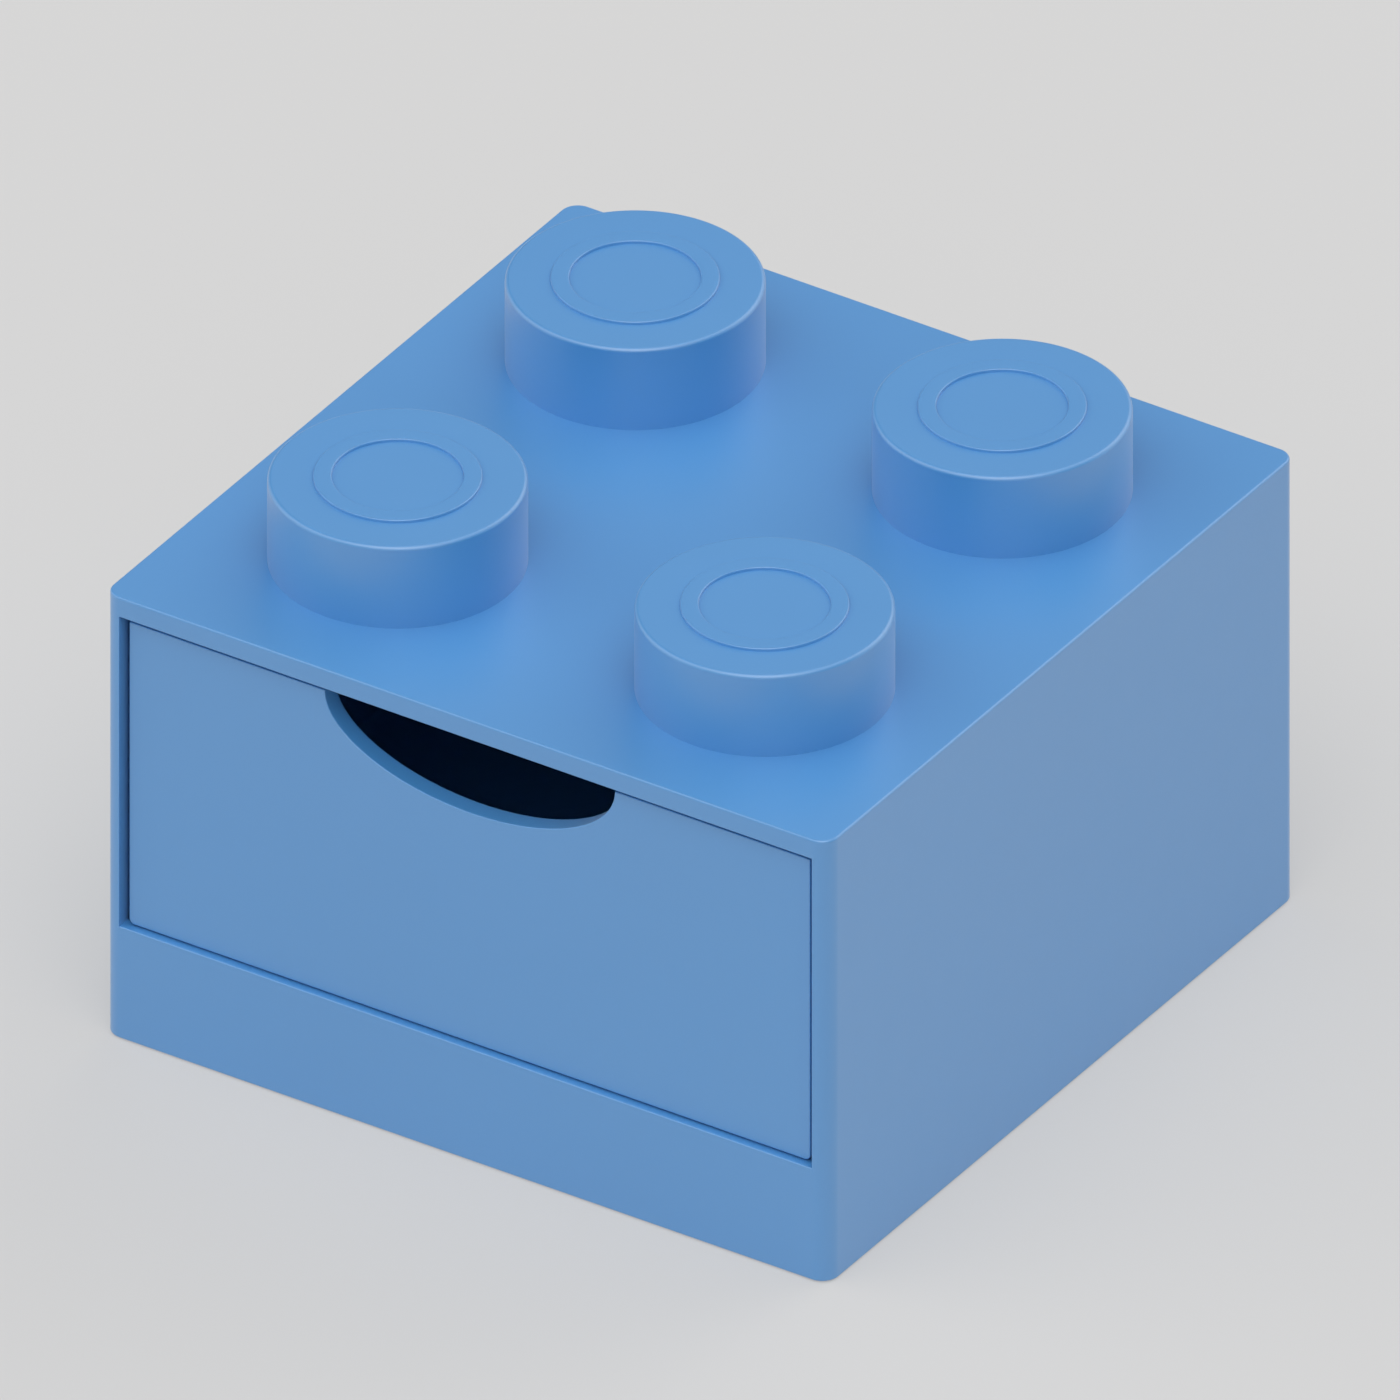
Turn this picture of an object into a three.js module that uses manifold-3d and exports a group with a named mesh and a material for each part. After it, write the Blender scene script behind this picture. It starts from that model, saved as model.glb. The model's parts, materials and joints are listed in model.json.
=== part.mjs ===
// A stackable storage drawer shaped as a 2 by 2 toy brick, ten times its size.
// Lengths are in millimetres. +Z is up, +X runs to the right and the front faces -Y.
// The origin is the middle of the footprint, on the table.
import * as THREE from "three";
import { mergeVertices } from "three/addons/utils/BufferGeometryUtils.js";
import Module from "manifold-3d";

const wasm = await Module();
wasm.setup();

// Sizes that pieces share: the gap between touching pieces, and how far a cut runs past a face.
const seatGap = 0.3;
const overrun = 2;

// Casing: one moulding, open underneath, with four hollow knobs and a drawer opening in front.
const footprintWidth = 158;
const footprintDepth = 158;
const bodyTop = 96;
const rimLift = 0.3;
const verticalCornerRadius = 3.5;
const topEdgeRadius = 1;
const sideWall = 3;
const backWall = 3;
const frontWall = 3;
const topWall = 3;
const plinthTop = 24.5;
const railDepth = 4.3;
const stileWidth = 3.5;

// Knobs on the casing's top, each with a plain raised ring, and with stiffening ribs across its hollow.
// The inset runs from the casing's sides to a knob's middle.
const knobInset = 39;
const knobDiameter = 47.8;
const knobHeight = 17.5;
const knobWall = 2.6;
const knobRoof = 3;
const knobEdgeRadius = 1;
const knobRingDiameter = 31;
const knobRingWidth = 3.4;
const knobRingHeight = 0.6;
const knobRibThickness = 1.6;
const knobRibCount = 3;

// Ribs under the casing's top, which keep the pulled-out drawer level.
const holdDownClearance = 0.4;
const holdDownWidth = 2;
const holdDownLength = 100;
const holdDownRearGap = 16;

// Corner bosses of the casing, which the deck screws go up into.
const screwInset = 11;
const bossDiameter = 9;
const bossBottom = 6.5;
const bossTopClearance = 1.1;
const bossWeb = 2;
const boreDepth = 12;

// Deck: the inner floor, with glide ribs, pull-out stops, corner pods, stacking tube and knob fins.
const deckThickness = 2.5;
const deckRibInset = 20.7;
const deckRibWidth = 5;
const deckRibHeight = 1.5;
const deckRibEndGap = 4;
const podWall = 2;
const podFloor = 2.2;
const tubeWall = 2.2;
const stackingClearance = 0.3;
const undersideLift = 1.5;
const finThickness = 2;
const stopSpacing = 40;
const stopWidth = 10;
const stopLength = 3;

// Glide strips, on top of the deck ribs.
const stripThickness = 0.7;
const stripEndGap = 1.5;

// Drawer: travel, the gaps round its front, and the tray behind it.
const drawerTravel = 110;
const frontRecess = 1.4;
const frontSideGap = 1.3;
const frontTopGap = 1.3;
const frontBottomGap = 0.45;
const frontThickness = 4;
const frontPlate = 2.2;
const frontRim = 2;
const frontCornerRadius = 1.2;
const frontEdgeRadius = 0.4;
const notchWidth = 63.2;
const notchDepth = 15.6;
const trayPlinthGap = 0.8;
const traySideGap = 1.5;
const trayTopDrop = 1.8;
const trayWall = 2.2;
const trayFloor = 2.4;
const trayCornerRadius = 5;
const scoopMargin = 3.4;
const hookWidth = 8;
const hookLength = 3;
const stopClearance = 0.4;

// Screws: the deck screws and the front screws share one pan head pattern.
const deckHeadDiameter = 6.5;
const deckHeadHeight = 2.2;
const deckShankDiameter = 3;
const deckShankLength = 13;
const frontHeadDiameter = 8.6;
const frontHeadHeight = 1.8;
const frontShankDiameter = 3;
const frontBossDiameter = 6.6;
const frontScrewSideInset = 14.2;
const frontScrewBottomInset = 10.05;
const frontScrewTopInset = 11.4;
const driveSlotWidth = 0.9;
const driveSlotDepth = 0.8;
const driveSlotLength = 3.6;
const screwPoint = 1;
const headEdge = 0.5;

// Rubber feet and rear bumpers.
const footDiameter = 12;
const footEdge = 0.6;
const bumperDiameter = 10;
const bumperThickness = 2.4;
const bumperEdge = 0.5;
const bumperInset = 31;
const bumperHeight = 55;

// How finely round shapes are cut.
const knobSides = 48;
const tubeSides = 48;
const smallSides = 16;
const cornerSteps = 4;
const edgeSteps = 2;
const notchSteps = 28;

// Planes and half sizes that follow from the driving dimensions.
const halfWidth = footprintWidth / 2;
const halfDepth = footprintDepth / 2;
const innerHalfWidth = halfWidth - sideWall;
const innerFront = -halfDepth + frontWall;
const innerBack = halfDepth - backWall;
const roofUnderside = bodyTop - topWall;
const openingHalfWidth = halfWidth - stileWidth;
const openingTop = bodyTop - railDepth;
const knobX = halfWidth - knobInset;
const knobY = halfDepth - knobInset;
const knobRadius = knobDiameter / 2;
const deckHalfWidth = innerHalfWidth - seatGap;
const deckFrontY = innerFront + seatGap;
const deckBackY = innerBack - seatGap;
const deckRibX = deckHalfWidth - deckRibInset;
const trayBottom = plinthTop + trayPlinthGap;
const stripBottom = trayBottom - seatGap - stripThickness;
const deckRibTop = stripBottom - seatGap;
const deckTop = deckRibTop - deckRibHeight;
const deckBottom = deckTop - deckThickness;
const frontOuterY = -halfDepth + frontRecess;
const frontInnerY = frontOuterY + frontThickness;
const frontPlateBackY = frontOuterY + frontPlate;
const frontHalfWidth = openingHalfWidth - frontSideGap;
const frontBottom = plinthTop + frontBottomGap;
const frontTop = openingTop - frontTopGap;
const trayFrontY = frontInnerY + seatGap;
const frontHeadY = trayFrontY + trayWall + seatGap;
const frontShankLength = frontHeadY - frontPlateBackY - seatGap;
const trayBackY = innerBack - seatGap - bumperThickness - seatGap;
const trayHalfWidth = openingHalfWidth - traySideGap;
const trayTop = frontTop - trayTopDrop;
const screwX = halfWidth - screwInset;
const screwY = halfDepth - screwInset;
const podInnerX = screwX - bossDiameter / 2 - seatGap;
const podInnerY = screwY - bossDiameter / 2 - seatGap;
const podFloorTop = bossBottom - seatGap;
const podFloorBottom = podFloorTop - podFloor;
const footTop = podFloorBottom - seatGap;
const hookY = trayBackY - hookLength;
const frontScrewX = frontHalfWidth - frontScrewSideInset;
const frontScrewLower = frontBottom + frontScrewBottomInset;
const frontScrewUpper = frontTop - frontScrewTopInset;
const bumperX = innerHalfWidth - bumperInset;

const corners = [
  ["front_left", -1, -1],
  ["front_right", 1, -1],
  ["rear_left", -1, 1],
  ["rear_right", 1, 1],
];
const sides = [
  ["left", -1],
  ["right", 1],
];

// Solids and the three booleans.
function solidOf(geometry) {
  const bare = geometry.clone();
  bare.deleteAttribute("normal");
  bare.deleteAttribute("uv");
  const merged = mergeVertices(bare);
  return new wasm.Manifold(
    new wasm.Mesh({
      numProp: 3,
      vertProperties: new Float32Array(merged.attributes.position.array),
      triVerts: new Uint32Array(merged.index.array),
    }),
  );
}

function joined(first, ...others) {
  return others.reduce((sum, other) => sum.add(other), first);
}

function without(first, ...cuts) {
  return cuts.reduce((rest, cut) => rest.subtract(cut), first);
}

function geometryOf(solid) {
  const mesh = solid.getMesh();
  const flat = new THREE.BufferGeometry();
  flat.setAttribute("position", new THREE.BufferAttribute(mesh.vertProperties, mesh.numProp));
  flat.setIndex(new THREE.BufferAttribute(mesh.triVerts, 1));
  const shaded = flat.toNonIndexed();
  shaded.computeVertexNormals();
  return shaded;
}

// A box between two values on each axis.
function block([x0, x1], [y0, y1], [z0, z1]) {
  const box = new THREE.BoxGeometry(x1 - x0, y1 - y0, z1 - z0);
  box.translate((x0 + x1) / 2, (y0 + y1) / 2, (z0 + z1) / 2);
  return solidOf(box);
}

// An upright round bar.
function bar(radius, [z0, z1], [x, y], count) {
  const round = new THREE.CylinderGeometry(radius, radius, z1 - z0, count);
  round.rotateX(Math.PI / 2);
  round.translate(x, y, (z0 + z1) / 2);
  return solidOf(round);
}

// A profile of [radius, height] points turned round the Z axis.
function turned(profile, count) {
  const lathe = new THREE.LatheGeometry(
    profile.map(([radius, height]) => new THREE.Vector2(radius, height)),
    count,
  );
  lathe.rotateX(Math.PI / 2);
  return lathe;
}

// The outline of a rectangle whose corners have their own radii, counter-clockwise from the lower left.
function roundedOutline([x0, x1], [y0, y1], [r0, r1, r2, r3]) {
  const outline = new THREE.Shape();
  outline.moveTo(x0 + r0, y0);
  outline.lineTo(x1 - r1, y0);
  if (r1) outline.absarc(x1 - r1, y0 + r1, r1, -Math.PI / 2, 0);
  outline.lineTo(x1, y1 - r2);
  if (r2) outline.absarc(x1 - r2, y1 - r2, r2, 0, Math.PI / 2);
  outline.lineTo(x0 + r3, y1);
  if (r3) outline.absarc(x0 + r3, y1 - r3, r3, Math.PI / 2, Math.PI);
  outline.lineTo(x0, y0 + r0);
  if (r0) outline.absarc(x0 + r0, y0 + r0, r0, Math.PI, (3 * Math.PI) / 2);
  return outline;
}

// An upright slab of an outline, with its top and bottom edges rounded by edge.
function slab(outline, [z0, z1], edge) {
  const raised = new THREE.ExtrudeGeometry(outline, {
    depth: z1 - z0 - 2 * edge,
    curveSegments: cornerSteps,
    bevelEnabled: edge > 0,
    bevelThickness: edge,
    bevelSize: edge,
    bevelOffset: -edge,
    bevelSegments: edgeSteps,
  });
  raised.translate(0, 0, z0 + edge);
  return raised;
}

function upright(halfX, [y0, y1], radius, [z0, z1], edge) {
  const outline = roundedOutline([-halfX, halfX], [y0, y1], [radius, radius, radius, radius]);
  return solidOf(slab(outline, [z0, z1], edge));
}

// Stands up a shape that was drawn lying in X and Y and raised along Z.
// It then stands in X and Z, and is raised towards -Y from y.
function standing(geometry, y) {
  geometry.rotateX(Math.PI / 2);
  geometry.translate(0, y, 0);
  return solidOf(geometry);
}

function named(name, geometry, material) {
  const mesh = new THREE.Mesh(geometry, material);
  mesh.name = name;
  return mesh;
}

// Materials.
const finish = (color, roughness, metalness) =>
  new THREE.MeshStandardMaterial({ color, roughness, metalness });
const casingPlastic = () => finish(0x5f9ad2, 0.42, 0);
const trayPlastic = () => finish(0x568fc8, 0.5, 0);
const steel = () => finish(0xb5b8bb, 0.3, 1);
const rubber = () => finish(0x2d2f31, 0.85, 0);
const glidePlastic = () => finish(0xe8e8e2, 0.35, 0);

// Casing shell.
function knobBody([x, y]) {
  const top = bodyTop + knobHeight;
  const profile = [[0, roofUnderside + topWall / 2]];
  profile.push([knobRadius, roofUnderside + topWall / 2]);
  for (let step = 0; step <= edgeSteps; step += 1) {
    const turn = (step / edgeSteps) * (Math.PI / 2);
    profile.push([
      knobRadius - knobEdgeRadius + knobEdgeRadius * Math.cos(turn),
      top - knobEdgeRadius + knobEdgeRadius * Math.sin(turn),
    ]);
  }
  profile.push([0, top]);
  const knob = turned(profile, knobSides);
  knob.translate(x, y, 0);
  return solidOf(knob);
}

function knobRing([x, y]) {
  const bottom = bodyTop + knobHeight - knobRoof / 2;
  const top = bodyTop + knobHeight + knobRingHeight;
  const innerRadius = knobRingDiameter / 2 - knobRingWidth;
  const outer = bar(knobRingDiameter / 2, [bottom, top], [x, y], knobSides);
  return without(outer, bar(innerRadius, [bottom - overrun, top + overrun], [x, y], knobSides));
}

// Upright ribs that cross at the middle of a knob's hollow and run into its wall.
function knobRibs([x, y]) {
  const reach = knobRadius - knobWall / 2;
  const heights = [roofUnderside, bodyTop + knobHeight - knobRoof / 2];
  const ribs = [];
  for (let index = 0; index < knobRibCount; index += 1) {
    const rib = new THREE.BoxGeometry(2 * reach, knobRibThickness, heights[1] - heights[0]);
    rib.rotateZ((index * Math.PI) / knobRibCount);
    rib.translate(x, y, (heights[0] + heights[1]) / 2);
    ribs.push(solidOf(rib));
  }
  return ribs;
}

function cornerBoss(sideX, sideY) {
  const x = sideX * screwX;
  const y = sideY * screwY;
  const heights = [bossBottom, trayBottom - bossTopClearance];
  const toWallX = [x, sideX * (innerHalfWidth + sideWall / 2)].sort((a, b) => a - b);
  const toWallY = [y, sideY * (halfDepth - frontWall / 2)].sort((a, b) => a - b);
  return joined(
    bar(bossDiameter / 2, heights, [x, y], smallSides),
    block(toWallX, [y - bossWeb / 2, y + bossWeb / 2], heights),
    block([x - bossWeb / 2, x + bossWeb / 2], toWallY, heights),
  );
}

function casingShell() {
  const outside = upright(
    halfWidth,
    [-halfDepth, halfDepth],
    verticalCornerRadius,
    [rimLift - overrun, bodyTop],
    topEdgeRadius,
  );
  const belowRim = block(
    [-halfWidth - overrun, halfWidth + overrun],
    [-halfDepth - overrun, halfDepth + overrun],
    [rimLift - 2 * overrun, rimLift],
  );
  const cavity = block(
    [-innerHalfWidth, innerHalfWidth],
    [innerFront, innerBack],
    [rimLift - overrun, roofUnderside],
  );
  const opening = block(
    [-openingHalfWidth, openingHalfWidth],
    [-halfDepth - overrun, innerFront + overrun],
    [plinthTop, openingTop],
  );
  let casing = without(outside, belowRim, cavity, opening);
  for (const [, sideX, sideY] of corners) {
    const centre = [sideX * knobX, sideY * knobY];
    casing = joined(casing, knobBody(centre), knobRing(centre));
    const hollow = [roofUnderside - overrun, bodyTop + knobHeight - knobRoof];
    casing = without(casing, bar(knobRadius - knobWall, hollow, centre, knobSides));
    casing = joined(casing, ...knobRibs(centre), cornerBoss(sideX, sideY));
    const bore = [bossBottom - overrun, bossBottom + boreDepth];
    const boreRadius = deckShankDiameter / 2 + seatGap;
    casing = without(casing, bar(boreRadius, bore, [sideX * screwX, sideY * screwY], smallSides));
  }
  const ribBack = innerBack - holdDownRearGap;
  for (const [, side] of sides) {
    const middle = side * (trayHalfWidth - trayWall / 2);
    const rib = block(
      [middle - holdDownWidth / 2, middle + holdDownWidth / 2],
      [ribBack - holdDownLength, ribBack],
      [trayTop + holdDownClearance, roofUnderside + topWall / 2],
    );
    casing = joined(casing, rib);
  }
  return casing;
}

// Deck.
function cornerPod(sideX, sideY) {
  const ordered = (side, near, far) => [side * near, side * far].sort((a, b) => a - b);
  const outer = block(
    ordered(sideX, podInnerX - podWall, deckHalfWidth),
    ordered(sideY, podInnerY - podWall, deckBackY),
    [podFloorBottom, deckTop],
  );
  const well = block(
    ordered(sideX, podInnerX, deckHalfWidth + overrun),
    ordered(sideY, podInnerY, deckBackY + overrun),
    [podFloorTop, deckTop + overrun],
  );
  return [outer, well];
}

function deck() {
  let plate = block([-deckHalfWidth, deckHalfWidth], [deckFrontY, deckBackY], [deckBottom, deckTop]);
  const tubeRadius = Math.hypot(knobX, knobY) - knobRadius - stackingClearance;
  const tubeHeights = [undersideLift, deckBottom + deckThickness / 2];
  const tube = without(
    bar(tubeRadius, tubeHeights, [0, 0], tubeSides),
    bar(tubeRadius - tubeWall, [undersideLift - overrun, deckBottom], [0, 0], tubeSides),
  );
  plate = joined(plate, tube);
  const finReachX = [knobX + knobRadius + stackingClearance, deckHalfWidth];
  const finReachY = [knobY + knobRadius + stackingClearance, deckBackY];
  const finHeights = [undersideLift, deckBottom + deckThickness / 2];
  for (const [, sideX, sideY] of corners) {
    const x = sideX * knobX;
    const y = sideY * knobY;
    const alongX = finReachX.map((reach) => sideX * reach).sort((a, b) => a - b);
    const alongY = finReachY.map((reach) => sideY * reach).sort((a, b) => a - b);
    plate = joined(
      plate,
      block(alongX, [y - finThickness / 2, y + finThickness / 2], finHeights),
      block([x - finThickness / 2, x + finThickness / 2], alongY, finHeights),
    );
  }
  for (const [, side] of sides) {
    const ribX = side * deckRibX;
    const rib = block(
      [ribX - deckRibWidth / 2, ribX + deckRibWidth / 2],
      [deckFrontY + deckRibEndGap, deckBackY - deckRibEndGap],
      [deckBottom, deckRibTop],
    );
    const stopX = (side * stopSpacing) / 2;
    const stopRear = hookY - hookLength / 2 - drawerTravel - stopClearance;
    const stop = block(
      [stopX - stopWidth / 2, stopX + stopWidth / 2],
      [stopRear - stopLength, stopRear],
      [deckBottom, trayBottom - stopClearance],
    );
    plate = joined(plate, rib, stop);
  }
  for (const [, sideX, sideY] of corners) {
    const [outer, well] = cornerPod(sideX, sideY);
    plate = without(joined(plate, outer), well);
    const hole = bar(
      deckShankDiameter / 2 + seatGap,
      [podFloorBottom - overrun, podFloorTop + overrun],
      [sideX * screwX, sideY * screwY],
      smallSides,
    );
    plate = without(plate, hole);
  }
  return plate;
}

// A pan head screw whose shank points along +Z and whose head's underside is at 0.
function screw(headDiameter, headHeight, shankDiameter, shankLength) {
  const head = headDiameter / 2;
  const shank = shankDiameter / 2;
  const solid = solidOf(
    turned(
      [
        [0, -headHeight],
        [head - headEdge, -headHeight],
        [head, -headHeight + headEdge],
        [head, 0],
        [shank, 0],
        [shank, shankLength - screwPoint],
        [shank / 2, shankLength],
        [0, shankLength],
      ],
      smallSides,
    ),
  );
  const long = driveSlotLength / 2;
  const short = driveSlotWidth / 2;
  const heights = [-headHeight - overrun, -headHeight + driveSlotDepth];
  return without(
    solid,
    block([-long, long], [-short, short], heights),
    block([-short, short], [-long, long], heights),
  );
}

// Rubber foot with a recess for the screw head above it.
function foot() {
  const radius = footDiameter / 2;
  const pad = solidOf(
    turned(
      [
        [0, 0],
        [radius - footEdge, 0],
        [radius, footEdge],
        [radius, footTop],
        [0, footTop],
      ],
      smallSides,
    ),
  );
  const recess = [podFloorBottom - deckHeadHeight - seatGap, footTop + overrun];
  return without(pad, bar(deckHeadDiameter / 2 + seatGap, recess, [0, 0], smallSides));
}

// Rubber bumper, drawn on its back with its face up.
function bumper() {
  const radius = bumperDiameter / 2;
  return turned(
    [
      [0, 0],
      [radius, 0],
      [radius, bumperThickness - bumperEdge],
      [radius - bumperEdge, bumperThickness],
      [0, bumperThickness],
    ],
    smallSides,
  );
}

// Glide strip, centred on its own length.
function glideStrip() {
  const start = deckFrontY + deckRibEndGap + stripEndGap;
  const end = deckBackY - deckRibEndGap - stripEndGap;
  const half = deckRibWidth / 2;
  return block([-half, half], [start, end], [0, stripThickness]);
}

// The finger notch: an ellipse round the middle of the front's top edge, cut or grown by margin.
function notchOutline(margin) {
  const outline = new THREE.Shape();
  const halfNotch = notchWidth / 2 + margin;
  outline.moveTo(halfNotch, frontTop + overrun);
  outline.lineTo(halfNotch, frontTop);
  outline.absellipse(0, frontTop, halfNotch, notchDepth + margin, 0, -Math.PI, true);
  outline.lineTo(-halfNotch, frontTop + overrun);
  outline.closePath();
  return outline;
}

function notchCut(margin, [y0, y1]) {
  const cut = new THREE.ExtrudeGeometry(notchOutline(margin), {
    depth: y1 - y0,
    curveSegments: notchSteps,
    bevelEnabled: false,
  });
  return standing(cut, y1);
}

const frontScrews = [
  ["lower_left", -1, frontScrewLower],
  ["lower_right", 1, frontScrewLower],
  ["upper_left", -1, frontScrewUpper],
  ["upper_right", 1, frontScrewUpper],
];

// A round bar that lies along Y.
function crossBar(radius, [y0, y1], [x, z], count) {
  const round = new THREE.CylinderGeometry(radius, radius, y1 - y0, count);
  round.translate(x, (y0 + y1) / 2, z);
  return solidOf(round);
}

// Drawer front: a thin plate with a rim and the notch's lining behind it, and four screw bosses.
function drawerFront() {
  const outline = (inset, radius) =>
    roundedOutline(
      [-frontHalfWidth + inset, frontHalfWidth - inset],
      [frontBottom + inset, frontTop - inset],
      [radius, radius, 0, 0],
    );
  const face = slab(outline(0, frontCornerRadius), [0, frontThickness + overrun], frontEdgeRadius);
  const behind = block(
    [-frontHalfWidth - overrun, frontHalfWidth + overrun],
    [frontInnerY, frontInnerY + 2 * overrun],
    [frontBottom - overrun, frontTop + overrun],
  );
  const body = without(standing(face, frontInnerY + overrun), behind);
  const hollowInside = slab(
    outline(frontRim, 0),
    [0, frontThickness - frontPlate + overrun],
    0,
  );
  const hollow = without(
    standing(hollowInside, frontInnerY + overrun),
    notchCut(frontRim, [frontOuterY - overrun, frontInnerY + 2 * overrun]),
  );
  let front = without(body, hollow);
  for (const [, side, z] of frontScrews) {
    const x = side * frontScrewX;
    const bossEnd = trayFrontY + trayWall - seatGap;
    const bossReach = [frontPlateBackY - frontPlate / 2, bossEnd];
    front = joined(front, crossBar(frontBossDiameter / 2, bossReach, [x, z], smallSides));
    const boreRadius = frontShankDiameter / 2 + seatGap;
    const boreReach = [frontPlateBackY, bossEnd + overrun];
    front = without(front, crossBar(boreRadius, boreReach, [x, z], smallSides));
  }
  return without(front, notchCut(0, [frontOuterY - overrun, frontInnerY + overrun]));
}

// Drawer tray: an open box with a scooped front wall, boss holes, and two stop hooks under its rear.
function drawerTray() {
  const heights = [trayBottom, trayTop];
  const outside = upright(trayHalfWidth, [trayFrontY, trayBackY], trayCornerRadius, heights, 0);
  const inside = upright(
    trayHalfWidth - trayWall,
    [trayFrontY + trayWall, trayBackY - trayWall],
    trayCornerRadius - trayWall,
    [trayBottom + trayFloor, trayTop + overrun],
    0,
  );
  const throughFront = [trayFrontY - overrun, trayFrontY + trayWall + overrun];
  let tray = without(outside, inside, notchCut(scoopMargin, throughFront));
  for (const [, side, z] of frontScrews) {
    const holeRadius = frontBossDiameter / 2 + seatGap;
    const hole = crossBar(holeRadius, throughFront, [side * frontScrewX, z], smallSides);
    tray = without(tray, hole);
  }
  for (const [, side] of sides) {
    const x = (side * stopSpacing) / 2;
    const hook = block(
      [x - hookWidth / 2, x + hookWidth / 2],
      [hookY - hookLength / 2, hookY + hookLength / 2],
      [deckTop + seatGap, trayBottom + trayFloor / 2],
    );
    tray = joined(tray, hook);
  }
  return tray;
}

// The assembly.
const root = new THREE.Group();

const casing = new THREE.Group();
root.add(casing);
casing.add(named("casing_shell", geometryOf(casingShell()), casingPlastic()));
casing.add(named("deck", geometryOf(deck()), trayPlastic()));

const deckScrew = geometryOf(
  screw(deckHeadDiameter, deckHeadHeight, deckShankDiameter, deckShankLength),
);
const footPad = geometryOf(foot());
for (const [place, sideX, sideY] of corners) {
  const deckScrewMesh = named("deck_screw_" + place, deckScrew, steel());
  deckScrewMesh.position.set(sideX * screwX, sideY * screwY, podFloorBottom - seatGap);
  const footMesh = named("foot_" + place, footPad, rubber());
  footMesh.position.set(sideX * screwX, sideY * screwY, 0);
  casing.add(deckScrewMesh, footMesh);
}

const strip = geometryOf(glideStrip());
const bumperPad = geometryOf(solidOf(bumper()));
for (const [place, side] of sides) {
  const stripMesh = named("glide_strip_" + place, strip, glidePlastic());
  stripMesh.position.set(side * deckRibX, 0, stripBottom);
  const bumperMesh = named("rear_bumper_" + place, bumperPad, rubber());
  bumperMesh.rotation.x = Math.PI / 2;
  bumperMesh.position.set(side * bumperX, innerBack - seatGap, bumperHeight);
  casing.add(stripMesh, bumperMesh);
}

const drawer = new THREE.Group();
root.add(drawer);
drawer.add(named("drawer_tray", geometryOf(drawerTray()), trayPlastic()));
drawer.add(named("drawer_front", geometryOf(drawerFront()), casingPlastic()));

const frontScrew = geometryOf(
  screw(frontHeadDiameter, frontHeadHeight, frontShankDiameter, frontShankLength),
);
for (const [place, side, z] of frontScrews) {
  const frontScrewMesh = named("front_screw_" + place, frontScrew, steel());
  frontScrewMesh.rotation.x = Math.PI / 2;
  frontScrewMesh.position.set(side * frontScrewX, frontHeadY, z);
  drawer.add(frontScrewMesh);
}

export default root;
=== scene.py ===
# A stackable storage drawer shaped as a 2 by 2 toy brick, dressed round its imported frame.
# Lengths are in metres, the front faces -Y, and the sections follow the object's assembly.
import json
import math

import bpy
from mathutils import Matrix, Vector


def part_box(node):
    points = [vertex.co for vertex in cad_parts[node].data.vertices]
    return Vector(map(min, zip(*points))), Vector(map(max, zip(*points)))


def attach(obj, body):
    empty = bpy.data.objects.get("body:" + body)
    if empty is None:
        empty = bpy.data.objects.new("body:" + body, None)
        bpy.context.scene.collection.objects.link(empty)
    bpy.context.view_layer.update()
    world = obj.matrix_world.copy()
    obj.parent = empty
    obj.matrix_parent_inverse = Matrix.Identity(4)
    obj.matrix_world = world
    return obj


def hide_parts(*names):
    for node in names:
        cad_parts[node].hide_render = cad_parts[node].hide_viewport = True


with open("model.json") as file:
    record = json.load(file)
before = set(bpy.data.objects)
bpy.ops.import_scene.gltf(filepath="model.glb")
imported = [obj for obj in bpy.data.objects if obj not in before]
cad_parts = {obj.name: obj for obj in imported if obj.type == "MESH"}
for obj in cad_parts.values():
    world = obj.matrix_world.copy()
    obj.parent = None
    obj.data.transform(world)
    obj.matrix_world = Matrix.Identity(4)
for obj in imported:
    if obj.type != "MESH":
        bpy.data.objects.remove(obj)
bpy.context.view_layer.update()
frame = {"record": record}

# Casing: one moulding in light blue plastic, open underneath, with four hollow knobs on its top.
# Its front wall frames the drawer opening. The mould gives it a fine satin skin and softened edges,
# and each knob's top has a plain raised ring.
MM = 0.001
TINY = 0.005 * MM
OVERRUN = 2 * MM

casing_low, casing_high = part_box("casing_shell")
tray_low, tray_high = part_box("drawer_tray")
mounts = {mount["name"]: Vector(mount["pos_m"]) for mount in frame["record"]["mounts"]}
BODY_TOP = mounts["top_plate"].z

WALL = 3 * MM
STILE = 3.5 * MM
RAIL = 4.3 * MM
PLINTH_TOP = 24.5 * MM
UPRIGHT_CORNER = 3.5 * MM
INNER_CORNER = 0.5 * MM
TOP_EDGE = 0.45 * MM
OPENING_EDGE = 0.25 * MM
RIM_EDGE = 0.3 * MM

KNOB_INSET = 39 * MM
KNOB_RADIUS = 23.9 * MM
KNOB_TOP = BODY_TOP + 17.5 * MM
KNOB_EDGE = 0.8 * MM
KNOB_WALL = 2.6 * MM
KNOB_ROOF = 3 * MM
KNOB_RIB = 1.6 * MM
KNOB_RIB_COUNT = 3
RING_RADIUS = 15.5 * MM
RING_WIDTH = 3.4 * MM
RING_EDGE = 0.22 * MM

BOSS_RADIUS = 4.5 * MM
BOSS_BOTTOM = 6.5 * MM
BOSS_TOP = 24.2 * MM
BOSS_WEB = 2 * MM
BORE_RADIUS = 1.8 * MM
BORE_DEPTH = 12 * MM
HOLD_DOWN_WIDTH = 2 * MM
HOLD_DOWN_LENGTH = 100 * MM
HOLD_DOWN_REAR_GAP = 16 * MM
HOLD_DOWN_CLEARANCE = 0.4 * MM
TRAY_WALL = 2.2 * MM

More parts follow.
